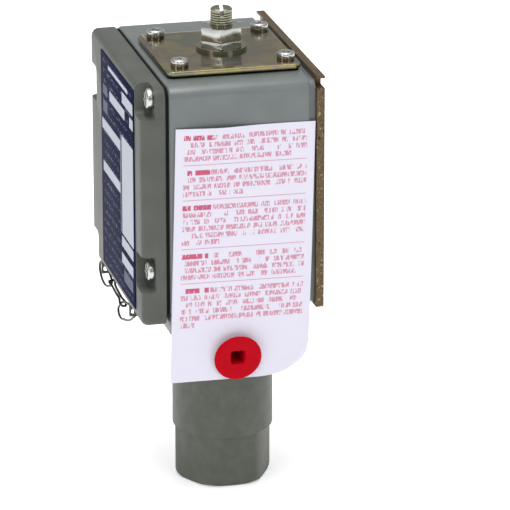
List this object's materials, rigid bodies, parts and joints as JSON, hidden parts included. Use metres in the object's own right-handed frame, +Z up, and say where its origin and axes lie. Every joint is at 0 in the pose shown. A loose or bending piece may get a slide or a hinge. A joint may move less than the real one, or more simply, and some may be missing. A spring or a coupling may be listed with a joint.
{
  "type": "pressure switch",
  "caption": "Piston-operated pressure switch: enamelled enclosure with a screwed cover, range screw and lock nut on top, hexagon actuator with a port below.",
  "frame": {"origin": "centre of the pressure port's mouth, on the actuator's lower face", "axes": "+Z runs up the port and the range screw, the cover faces -Y, the mounting plate lies at +Y and the conduit hub at -X"},
  "size_m": [0.1159, 0.0801, 0.2145],
  "materials": {
    "housing_enamel": "smooth grey enamel on die-cast aluminium",
    "actuator_enamel": "slightly rough grey-green enamel",
    "yellow_zinc": "yellow chromated zinc plate, mottled",
    "bright_zinc": "bright zinc plate",
    "spring_steel": "oiled spring steel",
    "brass": "turned brass",
    "black_rubber": "black nitrile rubber",
    "printed_plate": "anodised sheet, dark blue with pale fields",
    "phenolic": "moulded phenolic",
    "red_vinyl": "soft red moulded vinyl",
    "red_nylon": "red moulded nylon",
    "green_zinc": "green passivated zinc",
    "tag_paper": "thin printed tag paper"
  },
  "bodies": {
    "root": {"housing": "housing_enamel", "cover_gasket": "black_rubber", "mounting_plate": "yellow_zinc", "plate_screws": "bright_zinc", "top_plate": "yellow_zinc", "top_gasket": "black_rubber", "top_screws": "bright_zinc", "lock_washers": "yellow_zinc", "range_bushing": "brass", "seal_washer": "bright_zinc", "range_spring": "spring_steel", "actuator_body": "actuator_enamel", "actuator_gasket": "black_rubber", "actuator_locknut": "yellow_zinc", "rod_guide": "brass", "lever_pin": "bright_zinc", "pin_clips": "spring_steel", "lever_bracket": "yellow_zinc", "bracket_screws": "bright_zinc", "switch_bracket": "yellow_zinc", "switch_base": "phenolic", "switch_cover": "phenolic", "switch_screws": "bright_zinc", "snap_blade": "brass", "fixed_contacts": "brass", "terminal_plates": "brass", "terminal_screws": "bright_zinc", "differential_stud": "bright_zinc", "ground_screw": "green_zinc", "hang_tag": "tag_paper"},
    "cover": {"cover": "housing_enamel", "nameplate": "printed_plate", "cover_screws": "bright_zinc"},
    "chain": {"chain_link_1": "bright_zinc", "chain_link_2": "bright_zinc", "chain_link_3": "bright_zinc"},
    "range_seat": {"upper_spring_seat": "bright_zinc"},
    "range_screw": {"range_screw": "bright_zinc"},
    "lock_nut": {"lock_nut": "bright_zinc"},
    "piston": {"piston": "bright_zinc", "piston_seal": "black_rubber", "piston_rod": "bright_zinc", "lower_spring_seat": "bright_zinc"},
    "lever": {"lever": "yellow_zinc"},
    "button": {"switch_button": "red_nylon"},
    "differential_knob": {"differential_knob": "brass"},
    "drain_plug": {"drain_plug": "red_vinyl"}
  },
  "joints": [
    {"name": "cover_slide", "type": "slide", "parent": "root", "child": "cover", "axis": [0, -1, 0], "range_m": [0, 0.04]},
    {"name": "chain_swing", "type": "hinge", "parent": "cover", "child": "chain", "pos_m": [-0.016, -0.0425, 0.0839], "axis": [1, 0, 0], "range_deg": [-25, 25]},
    {"name": "range_seat_slide", "type": "slide", "parent": "root", "child": "range_seat", "axis": [0, 0, 1], "range_m": [-0.00317, 0.00317], "deforming": ["range_spring"]},
    {"name": "range_screw_turn", "type": "hinge", "parent": "range_seat", "child": "range_screw", "pos_m": [0, 0, 0.2], "axis": [0, 0, 1], "range_deg": [-1080, 1080]},
    {"name": "lock_nut_turn", "type": "hinge", "parent": "root", "child": "lock_nut", "pos_m": [0, 0, 0.202], "axis": [0, 0, 1], "range_deg": [0, 720]},
    {"name": "piston_slide", "type": "slide", "parent": "root", "child": "piston", "axis": [0, 0, 1], "range_m": [0, 0.0008], "stiffness_N_per_m": 5000, "deforming": ["range_spring"]},
    {"name": "lever_tilt", "type": "hinge", "parent": "root", "child": "lever", "pos_m": [0, 0.018, 0.122], "axis": [-1, 0, 0], "range_deg": [0, 2.6]},
    {"name": "button_slide", "type": "slide", "parent": "root", "child": "button", "axis": [0, 0, 1], "range_m": [0, 0.0018]},
    {"name": "differential_knob_turn", "type": "hinge", "parent": "root", "child": "differential_knob", "pos_m": [0.0266, -0.022, 0.1165], "axis": [0, 0, 1], "range_deg": [-360, 360]},
    {"name": "drain_plug_pull", "type": "slide", "parent": "root", "child": "drain_plug", "axis": [1, 0, 0], "range_m": [0, 0.012]}
  ],
  "couplings": [
    {"joint": "range_screw_turn", "follows": "range_seat_slide", "rad_per_m": 5938.5},
    {"joint": "lever_tilt", "follows": "piston_slide", "rad_per_m": 55.556},
    {"joint": "button_slide", "follows": "piston_slide", "ratio": 2.2222}
  ]
}
